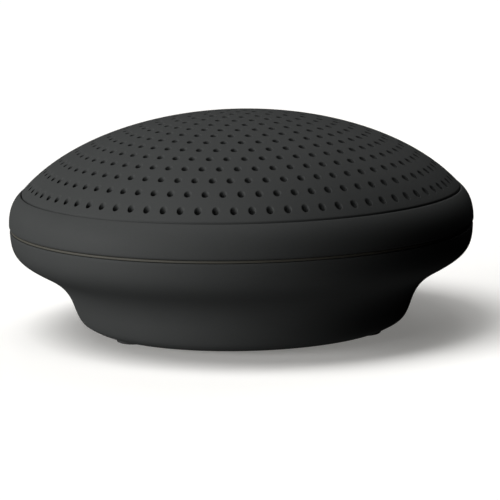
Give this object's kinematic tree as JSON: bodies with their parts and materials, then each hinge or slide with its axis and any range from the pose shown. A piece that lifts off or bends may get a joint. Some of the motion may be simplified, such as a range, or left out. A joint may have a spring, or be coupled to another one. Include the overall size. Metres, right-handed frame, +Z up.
{
  "type": "portable bluetooth speaker",
  "caption": "Round mushroom-shaped portable speaker: domed grille with rings of round holes, rounded rim, bowl on a pedestal with rubber feet, controls and sockets in a bay at the back.",
  "frame": {"origin": "middle of the underside, on the surface that the feet stand on", "axes": "+Z up through the middle of the grille, front towards -Y, controls and sockets at the back towards +Y"},
  "size_m": [0.1, 0.1, 0.0469],
  "materials": {
    "soft_touch": "soft-touch matt black",
    "inner_plastic": "moulded black",
    "gasket": "matt warm grey",
    "rubber": "matt black",
    "cloth": "black acoustic cloth",
    "steel": "plated",
    "black_steel": "black passivated",
    "paper": "pressed paper pulp",
    "copper": "enamelled wire",
    "spider_cloth": "resin-dipped cotton",
    "ferrite": "sintered, matt",
    "circuit_board": "green solder mask",
    "chip": "moulded epoxy",
    "capacitor_sleeve": "shrink sleeve",
    "nylon": "natural nylon",
    "cell_wrap": "foil pouch",
    "foam_tape": "foam",
    "clear": "clear moulded",
    "wire_red": "insulated wire",
    "wire_black": "insulated wire",
    "gloss_panel": "satin printed plate"
  },
  "bodies": {
    "housing": {"amplifier_chip": "chip", "audio_jack": "chip", "baffle_plate": "inner_plastic", "battery_cell": "cell_wrap", "battery_lead_black": "wire_black", "battery_lead_red": "wire_red", "battery_plug": "nylon", "battery_tape": "foam_tape", "bluetooth_module": "steel", "board_screw_1": "steel", "board_screw_2": "steel", "capacitor_1": "capacitor_sleeve", "capacitor_2": "capacitor_sleeve", "case_screw_1": "steel", "case_screw_2": "steel", "case_screw_3": "steel", "control_fascia": "gloss_panel", "driver_basket": "black_steel", "driver_gasket": "cloth", "driver_screw_1": "steel", "driver_screw_2": "steel", "driver_screw_3": "steel", "driver_screw_4": "steel", "foot_1": "rubber", "foot_2": "rubber", "foot_3": "rubber", "grille_cloth": "cloth", "grille_dome": "soft_touch", "light_pipe": "clear", "lower_shell": "soft_touch", "magnet": "ferrite", "main_board": "circuit_board", "microphone": "steel", "ring_screw_1": "steel", "ring_screw_2": "steel", "ring_screw_3": "steel", "seam_gasket": "gasket", "slide_switch": "steel", "speaker_lead_black": "wire_black", "speaker_lead_red": "wire_red", "speaker_plug": "nylon", "spider": "spider_cloth", "status_led": "clear", "surround": "rubber", "tact_switch_minus": "chip", "tact_switch_play": "chip", "tact_switch_plus": "chip", "terminal_strip": "nylon", "top_plate": "steel", "upper_shell": "soft_touch", "usb_socket": "steel", "yoke": "steel"},
    "driver_cone": {"cone": "paper", "dust_cap": "paper", "voice_coil": "copper"},
    "minus_button": {"button_minus": "soft_touch"},
    "play_button": {"button_play": "soft_touch"},
    "plus_button": {"button_plus": "soft_touch"},
    "power_knob": {"power_slider": "soft_touch"}
  },
  "joints": [
    {"name": "minus_press", "type": "slide", "parent": "housing", "child": "minus_button", "axis": [0, -1, 0], "range_m": [0, 0.0005], "stiffness_N_per_m": 1500},
    {"name": "play_press", "type": "slide", "parent": "housing", "child": "play_button", "axis": [0, -1, 0], "range_m": [0, 0.0005], "stiffness_N_per_m": 1500},
    {"name": "plus_press", "type": "slide", "parent": "housing", "child": "plus_button", "axis": [0, -1, 0], "range_m": [0, 0.0005], "stiffness_N_per_m": 1500},
    {"name": "power_slide", "type": "slide", "parent": "housing", "child": "power_knob", "axis": [-1, 0, 0], "range_m": [0, 0.0025]},
    {"name": "cone_travel", "type": "slide", "parent": "housing", "child": "driver_cone", "axis": [0, 0, 1], "range_m": [-0.001, 0.001], "stiffness_N_per_m": 2000, "deforming": ["surround", "spider"]}
  ]
}
